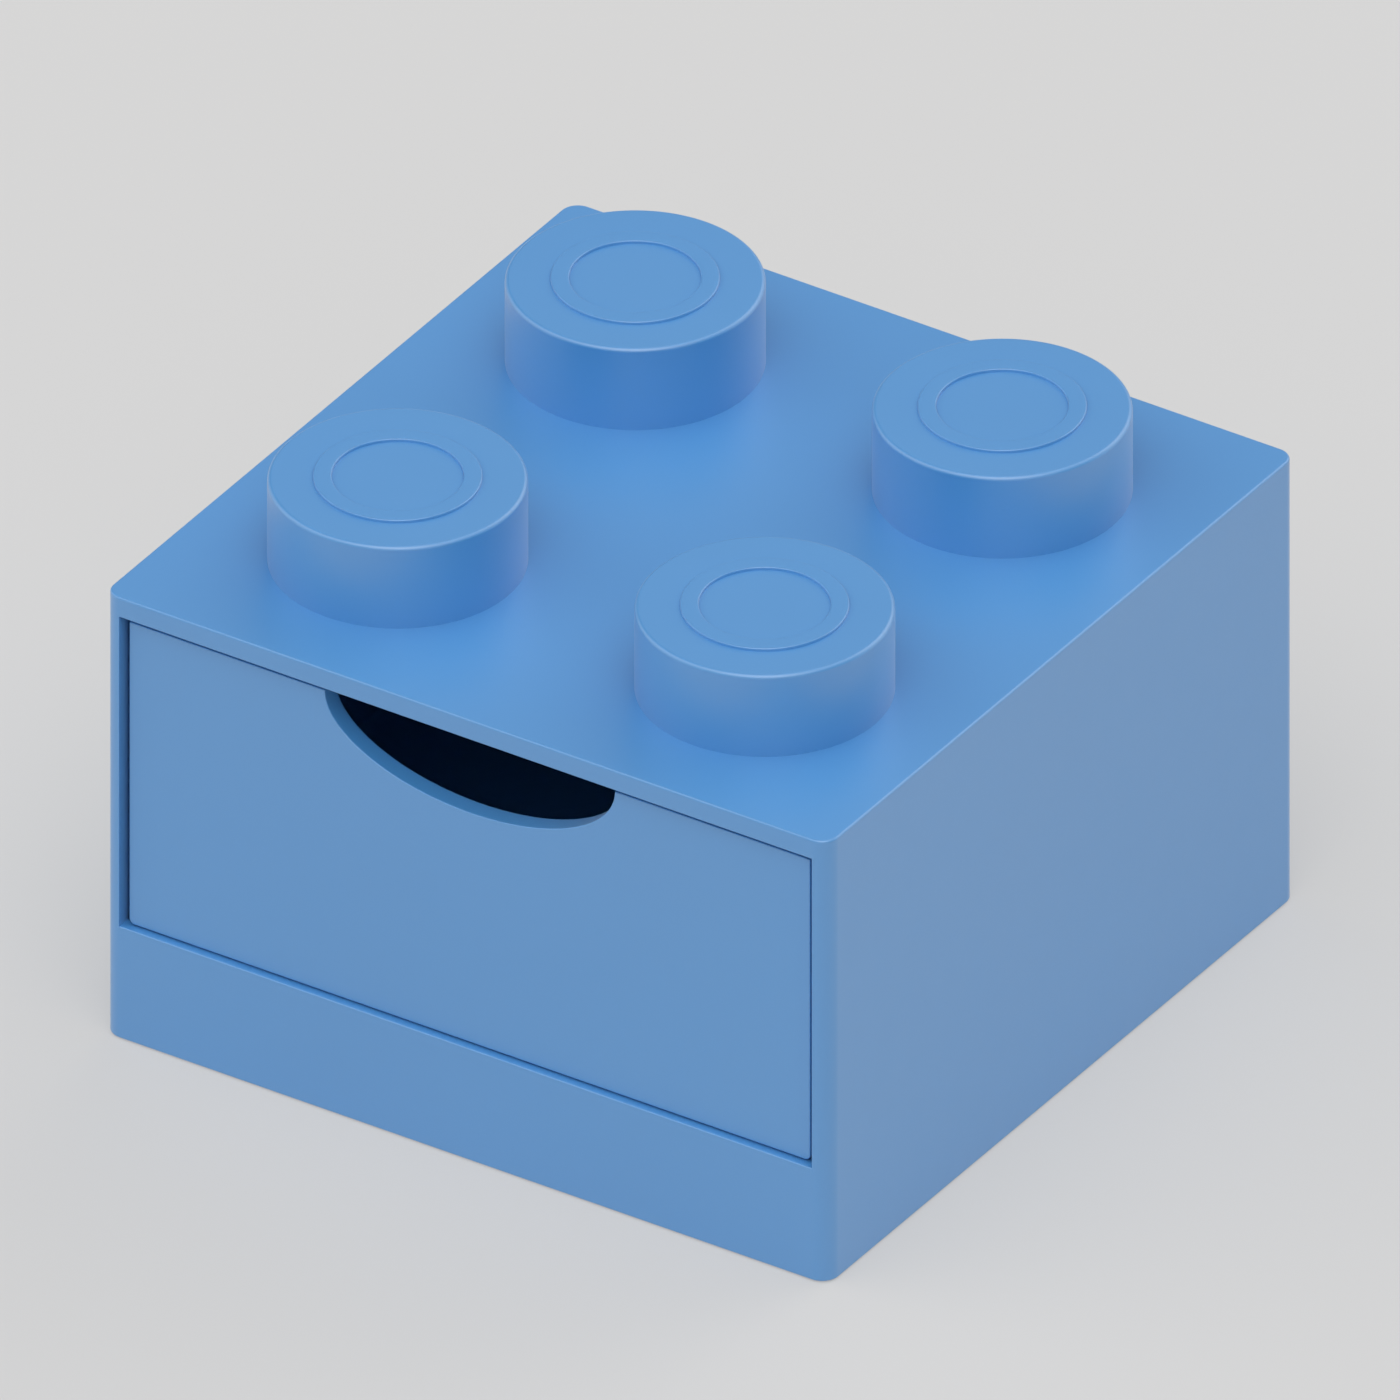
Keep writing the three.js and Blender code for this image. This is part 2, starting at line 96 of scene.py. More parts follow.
KNOB_SIDES = 144
HOLLOW_SIDES = 96
BOSS_SIDES = 40
BORE_SIDES = 24
SHARP_ANGLE = 32  # degrees between two faces, past which their shared edge stays sharp
FLAT_FACE_WEIGHT = 100

CORNERS = {
    "front_left": (-1, -1),
    "front_right": (1, -1),
    "rear_left": (-1, 1),
    "rear_right": (1, 1),
}
SIDES = {"left": -1, "right": 1}


def take(obj):
    """Makes obj the one selected and active object."""
    bpy.ops.object.select_all(action="DESELECT")
    obj.select_set(True)
    bpy.context.view_layer.objects.active = obj


def settle(obj):
    """Moves an object's place, turn and scale into its mesh."""
    take(obj)
    bpy.ops.object.transform_apply(location=True, rotation=True, scale=True)


def add_box(name, low, high):
    """A cube stretched between two corners."""
    bpy.ops.object.select_all(action="DESELECT")
    low, high = Vector(low), Vector(high)
    bpy.ops.mesh.primitive_cube_add(size=1, location=(low + high) / 2)
    box = bpy.context.object
    box.name = name
    box.scale = high - low
    settle(box)
    return box


def add_rod(name, radius, start, end, sides):
    """A round bar between two points."""
    bpy.ops.object.select_all(action="DESELECT")
    start, end = Vector(start), Vector(end)
    along = end - start
    bpy.ops.mesh.primitive_cylinder_add(
        vertices=sides,
        radius=radius,
        depth=along.length,
        location=(start + end) / 2,
        rotation=along.to_track_quat("Z", "Y").to_euler(),
    )
    rod = bpy.context.object
    rod.name = name
    settle(rod)
    return rod


def pick_edges(obj, wanted):
    """Opens obj in edit mode with only the edges selected whose two ends pass wanted."""
    take(obj)
    bpy.ops.object.mode_set(mode="EDIT")
    bpy.ops.mesh.select_mode(type="EDGE")
    bpy.ops.mesh.select_all(action="DESELECT")
    bpy.ops.object.mode_set(mode="OBJECT")
    points = obj.data.vertices
    for edge in obj.data.edges:
        first, second = edge.vertices
        edge.select = bool(wanted(points[first].co, points[second].co))
    bpy.ops.object.mode_set(mode="EDIT")


def pick_faces(obj, wanted):
    """Opens obj in edit mode with only the faces selected whose centre and normal pass wanted."""
    take(obj)
    bpy.ops.object.mode_set(mode="EDIT")
    bpy.ops.mesh.select_mode(type="FACE")
    bpy.ops.mesh.select_all(action="DESELECT")
    bpy.ops.object.mode_set(mode="OBJECT")
    for face in obj.data.polygons:
        face.select = bool(wanted(face.center, face.normal))
    bpy.ops.object.mode_set(mode="EDIT")


def round_edges(obj, wanted, radius, steps):
    """Rounds the edges that pass wanted, in a number of steps."""
    pick_edges(obj, wanted)
    bpy.ops.mesh.bevel(offset=radius, offset_type="OFFSET", segments=steps, affect="EDGES")
    bpy.ops.object.mode_set(mode="OBJECT")


def combine(obj, others, operation):
    """Joins others to obj, or cuts them out of it, one after the other."""
    for other in others:
        take(obj)
        modifier = obj.modifiers.new("combine", "BOOLEAN")
        modifier.operation = operation
        modifier.solver = "EXACT"
        modifier.object = other
        bpy.ops.object.modifier_apply(modifier=modifier.name)
        mesh = other.data
        bpy.data.objects.remove(other, do_unlink=True)
        bpy.data.meshes.remove(mesh)


def join(obj, *others):
    combine(obj, others, "UNION")


def cut(obj, *others):
    combine(obj, others, "DIFFERENCE")


def both(test):
    """A test of an edge that both of its ends have to pass."""
    return lambda a, b: test(a) and test(b)


def upright(a, b):
    """A test for edges that run straight up."""
    return abs(a.x - b.x) < TINY and abs(a.y - b.y) < TINY


def at_height(z):
    """A test for edges that lie at height z."""
    return both(lambda point: abs(point.z - z) < TINY)


def at_depth(y):
    """A test for edges that lie at depth y."""
    return both(lambda point: abs(point.y - y) < TINY)


def round_hole(z, low, high):
    """The edges of a hole in the face at height z, without those that join it to the outline
    round it."""
    return both(
        lambda point: abs(point.z - z) < TINY
        and low.x - TINY < point.x < high.x + TINY
        and low.y - TINY < point.y < high.y + TINY
    )


def polish(obj, sharp_angle=SHARP_ANGLE):
    """Outward normals, smooth rounded edges, and flat faces that stay flat."""
    take(obj)
    bpy.ops.object.mode_set(mode="EDIT")
    bpy.ops.mesh.select_all(action="SELECT")
    bpy.ops.mesh.remove_doubles(threshold=TINY)
    bpy.ops.mesh.normals_make_consistent(inside=False)
    bpy.ops.object.mode_set(mode="OBJECT")
    bpy.ops.object.shade_smooth_by_angle(angle=math.radians(sharp_angle))
    even = obj.modifiers.new("even shading", "WEIGHTED_NORMAL")
    even.keep_sharp = True
    even.weight = FLAT_FACE_WEIGHT
    bpy.ops.object.modifier_apply(modifier=even.name)


def between(side, near, far):
    """Two lengths on one side of the middle, in rising order."""
    return sorted((side * near, side * far))


def add_knob(x, y):
    """One knob with its rounded edge and raised ring, down into the top wall."""
    root = (x, y, BODY_TOP - WALL / 2)
    knob = add_rod("knob", KNOB_RADIUS, root, (x, y, KNOB_TOP), KNOB_SIDES)
    round_edges(knob, at_height(KNOB_TOP), KNOB_EDGE, steps=7)
    pick_faces(knob, lambda centre, normal: centre.z > KNOB_TOP - TINY)
    bpy.ops.mesh.inset(thickness=KNOB_RADIUS - KNOB_EDGE - RING_RADIUS)
    lift = (0, 0, casing_high.z - KNOB_TOP)
    bpy.ops.mesh.extrude_region_move(TRANSFORM_OT_translate={"value": lift})
    bpy.ops.mesh.inset(thickness=RING_WIDTH)
    drop = (0, 0, KNOB_TOP - casing_high.z)
    bpy.ops.mesh.extrude_region_move(TRANSFORM_OT_translate={"value": drop})
    bpy.ops.object.mode_set(mode="OBJECT")
    axis = Vector((x, y))

    def circle(a, b):
        """The ring's round edges, without those that cross from one to the other."""
        same_distance = abs((a.xy - axis).length - (b.xy - axis).length) < TINY
        return at_height(casing_high.z)(a, b) and same_distance

    round_edges(knob, circle, RING_EDGE, steps=3)
    return knob


def knob_ribs(x, y):
    """Stiffening ribs that cross in a knob's hollow."""
    ribs = []
    reach = KNOB_RADIUS - KNOB_WALL / 2
    for turn in range(KNOB_RIB_COUNT):
        rib = add_box(
            "knob_rib",
            (-reach, -KNOB_RIB / 2, BODY_TOP - WALL),
            (reach, KNOB_RIB / 2, KNOB_TOP - KNOB_ROOF / 2),
        )
        rib.rotation_euler.z = turn * math.pi / KNOB_RIB_COUNT
        rib.location = (x, y, 0)
        settle(rib)
        ribs.append(rib)
    return ribs


casing = add_box("brick_casing", casing_low, (casing_high.x, casing_high.y, BODY_TOP))
round_edges(casing, upright, UPRIGHT_CORNER, steps=10)
round_edges(casing, at_height(BODY_TOP), TOP_EDGE, steps=5)
round_edges(casing, at_height(casing_low.z), RIM_EDGE, steps=2)

inner_low = Vector((casing_low.x + WALL, casing_low.y + WALL, casing_low.z - OVERRUN))
inner_high = Vector((casing_high.x - WALL, casing_high.y - WALL, BODY_TOP - WALL))
cavity = add_box("cavity", inner_low, inner_high)
round_edges(cavity, upright, INNER_CORNER, steps=4)

opening_low = Vector((casing_low.x + STILE, casing_low.y - OVERRUN, PLINTH_TOP))
opening_high = Vector((casing_high.x - STILE, casing_low.y + WALL + OVERRUN, BODY_TOP - RAIL))
cut(casing, cavity, add_box("opening", opening_low, opening_high))


def round_opening(a, b):
    """The edges of the drawer opening on the casing's outer face."""
    middle = (a + b) / 2
    on_face = at_depth(casing_low.y)(a, b)
    inside_x = opening_low.x - TINY < middle.x < opening_high.x + TINY
    inside_z = opening_low.z - TINY < middle.z < opening_high.z + TINY
    return on_face and inside_x and inside_z


round_edges(casing, round_opening, OPENING_EDGE, steps=3)
round_edges(casing, round_hole(casing_low.z, inner_low, inner_high), RIM_EDGE, steps=2)
knob_spots = [
    (side_x * (casing_high.x - KNOB_INSET), side_y * (casing_high.y - KNOB_INSET))
    for side_x, side_y in CORNERS.values()
]
for spot in knob_spots:
    join(casing, add_knob(*spot))
for x, y in knob_spots:
    hollow_low = (x, y, BODY_TOP - WALL - OVERRUN)
    hollow_high = (x, y, KNOB_TOP - KNOB_ROOF)
    hollow = add_rod("hollow", KNOB_RADIUS - KNOB_WALL, hollow_low, hollow_high, HOLLOW_SIDES)
    cut(casing, hollow)
    join(casing, *knob_ribs(x, y))

for place, (side_x, side_y) in CORNERS.items():
    screw_low, screw_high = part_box("deck_screw_" + place)
    spot = (screw_low + screw_high) / 2
    boss_low = (spot.x, spot.y, BOSS_BOTTOM)
    boss_high = (spot.x, spot.y, BOSS_TOP)
    boss = add_rod("boss", BOSS_RADIUS, boss_low, boss_high, BOSS_SIDES)
    x0, x1 = between(side_x, abs(spot.x), casing_high.x - WALL / 2)
    y0, y1 = between(side_y, abs(spot.y), casing_high.y - WALL / 2)
    half_web = BOSS_WEB / 2
    web_x_low = (x0, spot.y - half_web, BOSS_BOTTOM)
    web_x_high = (x1, spot.y + half_web, BOSS_TOP)
    web_y_low = (spot.x - half_web, y0, BOSS_BOTTOM)
    web_y_high = (spot.x + half_web, y1, BOSS_TOP)
    web_x = add_box("web", web_x_low, web_x_high)
    web_y = add_box("web", web_y_low, web_y_high)
    join(casing, boss, web_x, web_y)
    bore_low = (spot.x, spot.y, BOSS_BOTTOM - OVERRUN)
    bore_high = (spot.x, spot.y, BOSS_BOTTOM + BORE_DEPTH)
    cut(casing, add_rod("bore", BORE_RADIUS, bore_low, bore_high, BORE_SIDES))

hold_down_back = casing_high.y - WALL - HOLD_DOWN_REAR_GAP
hold_down_bottom = tray_high.z + HOLD_DOWN_CLEARANCE
for side in SIDES.values():
    x = side * (tray_high.x - TRAY_WALL / 2)
    hold_down = add_box(
        "hold_down",
        (x - HOLD_DOWN_WIDTH / 2, hold_down_back - HOLD_DOWN_LENGTH, hold_down_bottom),
        (x + HOLD_DOWN_WIDTH / 2, hold_down_back, BODY_TOP - WALL / 2),
    )
    join(casing, hold_down)
polish(casing)

CASING_BLUE = (0.052, 0.28, 0.643)
CASING_ROUGHNESS = 0.38
CASING_GRAIN_DEPTH = 0.004 * MM
SHADE_SCALE = 22
SHADE_CHANGE = 0.04
SPECK_SCALE = 160
GLOSS_CHANGE = 0.06
GRAIN_SCALE = 2500
NOISE_MIDDLE = 0.5


def add_socket(group, name, direction, kind, value=None):
    """An input or output of a node group."""
    socket = group.interface.new_socket(name=name, in_out=direction, socket_type=kind)
    if value is not None:
        socket.default_value = value


def math_node(tree, operation, *inputs):
    """A Math node whose inputs are numbers or sockets."""
    node = tree.nodes.new("ShaderNodeMath")
    node.operation = operation
    for index, value in enumerate(inputs):
        if isinstance(value, (int, float)):
            node.inputs[index].default_value = value
        else:
            tree.links.new(value, node.inputs[index])
    return node.outputs[0]


def noise_node(tree, scale, detail):
    """A noise pattern that lies in the object's own space."""
    place = tree.nodes.new("ShaderNodeTexCoord")
    noise = tree.nodes.new("ShaderNodeTexNoise")
    noise.inputs["Detail"].default_value = detail
    tree.links.new(place.outputs["Object"], noise.inputs["Vector"])
    if isinstance(scale, (int, float)):
        noise.inputs["Scale"].default_value = scale
    else:
        tree.links.new(scale, noise.inputs["Scale"])
    return noise.outputs["Fac"]


def moulded_skin_group():
    """The skin of a moulding: a very fine grain from the mould, and broad soft changes in shade and
    gloss where the melt cooled at different speeds."""
    group = bpy.data.node_groups.new("moulded_skin", "ShaderNodeTree")
    add_socket(group, "Colour", "INPUT", "NodeSocketColor", (*CASING_BLUE, 1))
    add_socket(group, "Shade Change", "INPUT", "NodeSocketFloat", SHADE_CHANGE)
    add_socket(group, "Roughness", "INPUT", "NodeSocketFloat", CASING_ROUGHNESS)
    add_socket(group, "Gloss Change", "INPUT", "NodeSocketFloat", GLOSS_CHANGE)
    add_socket(group, "Grain Scale", "INPUT", "NodeSocketFloat", GRAIN_SCALE)
    add_socket(group, "Colour", "OUTPUT", "NodeSocketColor")
    add_socket(group, "Roughness", "OUTPUT", "NodeSocketFloat")
    add_socket(group, "Height", "OUTPUT", "NodeSocketFloat")
    given = group.nodes.new("NodeGroupInput").outputs
    out = group.nodes.new("NodeGroupOutput").inputs

    broad = noise_node(group, SHADE_SCALE, detail=2)
    centred = math_node(group, "SUBTRACT", broad, NOISE_MIDDLE)
    shade = math_node(group, "MULTIPLY_ADD", centred, given["Shade Change"], 1)
    tint = group.nodes.new("ShaderNodeHueSaturation")
    group.links.new(given["Colour"], tint.inputs["Color"])
    group.links.new(shade, tint.inputs["Value"])
    group.links.new(tint.outputs["Color"], out["Colour"])

    speck = noise_node(group, SPECK_SCALE, detail=4)
    level = math_node(group, "SUBTRACT", math_node(group, "ADD", broad, speck), 2 * NOISE_MIDDLE)
    gloss = math_node(group, "MULTIPLY_ADD", level, given["Gloss Change"], given["Roughness"])
    group.links.new(gloss, out["Roughness"])
    grain = noise_node(group, given["Grain Scale"], detail=3)
    group.links.new(grain, out["Height"])
    return group


moulded_skin = moulded_skin_group()


def new_material(name):
    """A material with its node tree and its shader."""
    material = bpy.data.materials.new(name)
    material.use_nodes = True
    return material, material.node_tree, material.node_tree.nodes["Principled BSDF"]


def bump(tree, shader, height, distance):
    """Raises a surface by a height pattern, at most by distance."""
    node = tree.nodes.new("ShaderNodeBump")
    node.inputs["Strength"].default_value = 1
    node.inputs["Distance"].default_value = distance
    tree.links.new(height, node.inputs["Height"])
    tree.links.new(node.outputs["Normal"], shader.inputs["Normal"])


def moulded(
    name, colour, roughness, grain_depth, grain_scale=GRAIN_SCALE, shade_change=SHADE_CHANGE
):
    """A moulded material with the skin's grain."""
    material, tree, shader = new_material(name)
    skin = tree.nodes.new("ShaderNodeGroup")
    skin.node_tree = moulded_skin
    skin.inputs["Colour"].default_value = (*colour, 1)
    skin.inputs["Shade Change"].default_value = shade_change
    skin.inputs["Roughness"].default_value = roughness
    skin.inputs["Grain Scale"].default_value = grain_scale
    tree.links.new(skin.outputs["Colour"], shader.inputs["Base Color"])
    tree.links.new(skin.outputs["Roughness"], shader.inputs["Roughness"])
    bump(tree, shader, skin.outputs["Height"], grain_depth)
    return material


def set_finish(material, values):
    """Sets what is the same all over the surface on the material's own shader."""
    shader = material.node_tree.nodes["Principled BSDF"]
    for name, value in values.items():
        shader.inputs[name].default_value = value


casing_plastic = moulded(
    "light_blue_satin_plastic", CASING_BLUE, CASING_ROUGHNESS, CASING_GRAIN_DEPTH
)
# The skin's fine texture scatters a faint haze, most of all where the surface turns away.
set_finish(
    casing_plastic,
    {"IOR": 1.7, "Specular IOR Level": 1, "Sheen Weight": 0.2, "Sheen Roughness": 0.5},
)


def dress(obj, material, body, slot, *nodes):
    """Gives a finished piece its material and its body, and hides the nodes that it stands for. The
    slot is not used.
    """
    obj.data.materials.clear()
    obj.data.materials.append(material)
    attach(obj, body)
    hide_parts(*nodes)


dress(casing, casing_plastic, "casing", "casing_plastic", "casing_shell")

# Deck: the inner floor, moulded in the same blue and duller, and pushed in from below. The drawer
# runs on two ribs on its top. Underneath it has the stacking tube and fins that fit round the knobs
# of a unit below, and in each corner a pod that a screw goes through into a boss of the casing.
DECK_THICKNESS = 2.5 * MM
DECK_RIB_INSET = 20.7 * MM
DECK_RIB_WIDTH = 5 * MM
DECK_RIB_HEIGHT = 1.5 * MM
DECK_RIB_END_GAP = 4 * MM
DECK_EDGE = 0.4 * MM
POD_WALL = 2 * MM
POD_FLOOR = 2.2 * MM
TUBE_WALL = 2.2 * MM
TUBE_SIDES = 128
STACKING_CLEARANCE = 0.3 * MM
FIN_THICKNESS = 2 * MM
STOP_SPACING = 40 * MM
STOP_WIDTH = 10 * MM
STOP_LENGTH = 3 * MM
STOP_CLEARANCE = 0.4 * MM
SEAT_GAP = 0.3 * MM
HOOK_LENGTH = 3 * MM
TRAY_BOTTOM = PLINTH_TOP + 0.8 * MM

deck_low, deck_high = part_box("deck")
deck_top = deck_high.z - DECK_RIB_HEIGHT
deck_bottom = deck_top - DECK_THICKNESS
drawer_travel = max(frame["record"]["behaviour"]["joints"][0]["range_m"])

deck = add_box(
    "drawer_deck",
    (deck_low.x, deck_low.y, deck_bottom),
    (deck_high.x, deck_high.y, deck_top),
)
round_edges(deck, upright, INNER_CORNER, steps=3)

knob_x, knob_y = casing_high.x - KNOB_INSET, casing_high.y - KNOB_INSET
tube_radius = math.hypot(knob_x, knob_y) - KNOB_RADIUS - STACKING_CLEARANCE
tube_top = (0, 0, deck_top - DECK_THICKNESS / 2)
tube = add_rod("tube", tube_radius, (0, 0, deck_low.z), tube_top, TUBE_SIDES)
round_edges(tube, at_height(deck_low.z), DECK_EDGE, steps=3)
join(deck, tube)
bore_low = (0, 0, deck_low.z - OVERRUN)
bore_high = (0, 0, deck_bottom)
cut(deck, add_rod("tube_bore", tube_radius - TUBE_WALL, bore_low, bore_high, TUBE_SIDES))

fin_top = deck_top - DECK_THICKNESS / 2
half_fin = FIN_THICKNESS / 2
for side_x, side_y in CORNERS.values():
    reach = KNOB_RADIUS + STACKING_CLEARANCE
    x0, x1 = between(side_x, knob_x + reach, deck_high.x)
    y0, y1 = between(side_y, knob_y + reach, deck_high.y)
    x, y = side_x * knob_x, side_y * knob_y
    fin_x = add_box("fin", (x0, y - half_fin, deck_low.z), (x1, y + half_fin, fin_top))
    fin_y = add_box("fin", (x - half_fin, y0, deck_low.z), (x + half_fin, y1, fin_top))
    round_edges(fin_x, at_height(deck_low.z), DECK_EDGE, steps=2)
    round_edges(fin_y, at_height(deck_low.z), DECK_EDGE, steps=2)
    join(deck, fin_x, fin_y)

hook_y = tray_high.y - HOOK_LENGTH
stop_rear = hook_y - HOOK_LENGTH / 2 - drawer_travel - STOP_CLEARANCE
for side in SIDES.values():
    x = side * (deck_high.x - DECK_RIB_INSET)
    half = DECK_RIB_WIDTH / 2
    rib = add_box(
        "glide_rib",
        (x - half, deck_low.y + DECK_RIB_END_GAP, deck_bottom + DECK_THICKNESS / 2),
        (x + half, deck_high.y - DECK_RIB_END_GAP, deck_high.z),
    )
    round_edges(rib, at_height(deck_high.z), DECK_EDGE, steps=3)
    x = side * STOP_SPACING / 2
    half = STOP_WIDTH / 2
    stop = add_box(
        "pull_out_stop",
        (x - half, stop_rear - STOP_LENGTH, deck_bottom + DECK_THICKNESS / 2),
        (x + half, stop_rear, TRAY_BOTTOM - STOP_CLEARANCE),
    )
    round_edges(stop, at_height(TRAY_BOTTOM - STOP_CLEARANCE), DECK_EDGE, steps=3)
    join(deck, rib, stop)

pod_floor_top = BOSS_BOTTOM - SEAT_GAP
pod_floor_bottom = pod_floor_top - POD_FLOOR
for place, (side_x, side_y) in CORNERS.items():
    screw_low, screw_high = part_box("deck_screw_" + place)
    spot = (screw_low + screw_high) / 2
    near_x = abs(spot.x) - BOSS_RADIUS - SEAT_GAP
    near_y = abs(spot.y) - BOSS_RADIUS - SEAT_GAP
    x0, x1 = between(side_x, near_x - POD_WALL, deck_high.x)
    y0, y1 = between(side_y, near_y - POD_WALL, deck_high.y)
    pod = add_box("pod", (x0, y0, pod_floor_bottom), (x1, y1, deck_top - DECK_EDGE))
    round_edges(pod, at_height(pod_floor_bottom), DECK_EDGE, steps=3)
    x0, x1 = between(side_x, near_x, deck_high.x + OVERRUN)
    y0, y1 = between(side_y, near_y, deck_high.y + OVERRUN)
    well = add_box("well", (x0, y0, pod_floor_top), (x1, y1, deck_top + OVERRUN))
    hole_low = (spot.x, spot.y, pod_floor_bottom - OVERRUN)
    hole_high = (spot.x, spot.y, pod_floor_top + OVERRUN)
    join(deck, pod)
    cut(deck, well, add_rod("hole", BORE_RADIUS, hole_low, hole_high, BORE_SIDES))
polish(deck)

INNER_BLUE = (0.05, 0.25, 0.58)
INNER_ROUGHNESS = 0.5
INNER_GRAIN_DEPTH = 0.006 * MM
inner_plastic = moulded(
    "duller_blue_inner_plastic", INNER_BLUE, INNER_ROUGHNESS, INNER_GRAIN_DEPTH
)
set_finish(inner_plastic, {"IOR": 1.6})
dress(deck, inner_plastic, "casing", "inner_plastic", "deck")

# Deck screws: zinc-plated pan heads with a cross recess and a coarse thread for plastic. They go up
# through the pods into the casing's bosses, and are driven from below before the feet go on.
SCREW_SIDES = 40
HEAD_DOME = 0.9 * MM
HEAD_DOME_STEPS = 8
HEAD_EDGE = 0.2 * MM
NECK_LENGTH = 0.4 * MM
SHANK_RADIUS = 1.5 * MM
THREAD_DEPTH = 0.35 * MM
THREAD_PITCH = 1.2 * MM
THREAD_WIDTH = 0.5 * MM
THREAD_START = 0.6 * MM
THREAD_SINK = 0.1 * MM
THREAD_STEPS = 20
POINT_LENGTH = 1 * MM
RECESS_LENGTH = 3.6 * MM
RECESS_WIDTH = 0.9 * MM
RECESS_DEPTH = 1.1 * MM
TURNED_SHARP_ANGLE = 40


def turned(name, profile, sides):
    """A solid of revolution round Z. Its profile is a row of (radius, height) points that starts
    and ends on the axis."""
    mesh = bpy.data.meshes.new(name)
    points = [(radius, 0, height) for radius, height in profile]
    mesh.from_pydata(points, [(index, index + 1) for index in range(len(points) - 1)], [])
    obj = bpy.data.objects.new(name, mesh)
    bpy.context.scene.collection.objects.link(obj)
    take(obj)
    bpy.ops.object.mode_set(mode="EDIT")
    bpy.ops.mesh.select_all(action="SELECT")
    bpy.ops.mesh.spin(steps=sides, angle=2 * math.pi, center=(0, 0, 0), axis=(0, 0, 1))
    bpy.ops.mesh.select_all(action="SELECT")
    bpy.ops.mesh.remove_doubles(threshold=TINY)
    bpy.ops.mesh.normals_make_consistent(inside=False)
    bpy.ops.object.mode_set(mode="OBJECT")
    return obj


def add_thread(bottom, top):
    """A ridge wound round the Z axis between two heights."""
    root = SHANK_RADIUS - THREAD_DEPTH - THREAD_SINK
    half = THREAD_WIDTH / 2
    mesh = bpy.data.meshes.new("thread")
    section = [(root, 0, bottom), (SHANK_RADIUS, 0, bottom + half), (root, 0, bottom + 2 * half)]
    mesh.from_pydata(section, [(0, 1), (1, 2), (2, 0)], [])
    thread = bpy.data.objects.new("thread", mesh)
    bpy.context.scene.collection.objects.link(thread)
    take(thread)
    turns = max(1, int((top - bottom - THREAD_WIDTH) / THREAD_PITCH))
    wind = thread.modifiers.new("wind", "SCREW")
    wind.screw_offset = THREAD_PITCH
    wind.iterations = turns
    wind.steps = wind.render_steps = THREAD_STEPS
    bpy.ops.object.modifier_apply(modifier=wind.name)
    bpy.ops.object.mode_set(mode="EDIT")
    bpy.ops.mesh.select_mode(type="EDGE")
    bpy.ops.mesh.select_all(action="DESELECT")
    bpy.ops.mesh.select_non_manifold()
    bpy.ops.mesh.edge_face_add()
    bpy.ops.mesh.select_all(action="SELECT")
    bpy.ops.mesh.normals_make_consistent(inside=False)
    bpy.ops.object.mode_set(mode="OBJECT")
    return thread


def add_screw(name, head_radius, head_height, shank_length):
    """A pan head screw that stands on its head: the head is below Z 0 and the shank points up."""
    core = SHANK_RADIUS - THREAD_DEPTH
    rim = head_height - HEAD_DOME
    head = [(0, -head_height)]
    for step in range(1, HEAD_DOME_STEPS + 1):
        angle = step * math.pi / (2 * HEAD_DOME_STEPS)
        head.append((head_radius * math.sin(angle), -rim - HEAD_DOME * math.cos(angle)))
    head += [(head_radius, -HEAD_EDGE), (head_radius - HEAD_EDGE, 0)]
    head += [(SHANK_RADIUS, 0), (core, NECK_LENGTH)]
    shank = [(core, shank_length - POINT_LENGTH), (core / 2, shank_length), (0, shank_length)]
    screw = turned(name, head + shank, SCREW_SIDES)
    thread_top = shank_length - POINT_LENGTH
    if thread_top > 2 * THREAD_PITCH:
        join(screw, add_thread(THREAD_START, thread_top))
    half, short = RECESS_LENGTH / 2, RECESS_WIDTH / 2
    for reach in ((half, short), (short, half)):
        blade = add_box(
            "recess",
            (-reach[0], -reach[1], -head_height - OVERRUN),
            (reach[0], reach[1], -head_height + RECESS_DEPTH),
        )
        cut(screw, blade)
    polish(screw, TURNED_SHARP_ANGLE)
    return screw


def copy_to(obj, name, matrix):
    """A copy of a piece with its own mesh, moved in the mesh."""
    copy = obj.copy()
    copy.data = obj.data.copy()
    copy.name = name
    copy.data.transform(matrix)
    bpy.context.scene.collection.objects.link(copy)
    return copy


def discard(obj):
    """Deletes a model that was only there to be copied."""
    mesh = obj.data
    bpy.data.objects.remove(obj, do_unlink=True)
    bpy.data.meshes.remove(mesh)


DARK_ZINC = (0.5, 0.51, 0.53)
BRIGHT_ZINC = (0.68, 0.68, 0.67)
PATCH_SCALE = 700
ZINC_ROUGHNESS = 0.2
ZINC_GLOSS_CHANGE = 0.25
MARK_SCALE = 4000
MARK_DEPTH = 0.003 * MM


def zinc_plate():
    """Bright zinc: bare metal whose shade and gloss change in soft patches, with fine marks."""
    material, tree, shader = new_material("zinc_plated_steel")
    patches = noise_node(tree, PATCH_SCALE, detail=3)
    ramp = tree.nodes.new("ShaderNodeValToRGB")
    for index, (position, colour) in enumerate([(0.3, DARK_ZINC), (0.7, BRIGHT_ZINC)]):
        ramp.color_ramp.elements[index].position = position
        ramp.color_ramp.elements[index].color = (*colour, 1)
    tree.links.new(patches, ramp.inputs["Fac"])
    tree.links.new(ramp.outputs["Color"], shader.inputs["Base Color"])
    gloss = math_node(tree, "MULTIPLY_ADD", patches, ZINC_GLOSS_CHANGE, ZINC_ROUGHNESS)
    tree.links.new(gloss, shader.inputs["Roughness"])
    shader.inputs["Metallic"].default_value = 1
    bump(tree, shader, noise_node(tree, MARK_SCALE, detail=2), MARK_DEPTH)
    return material


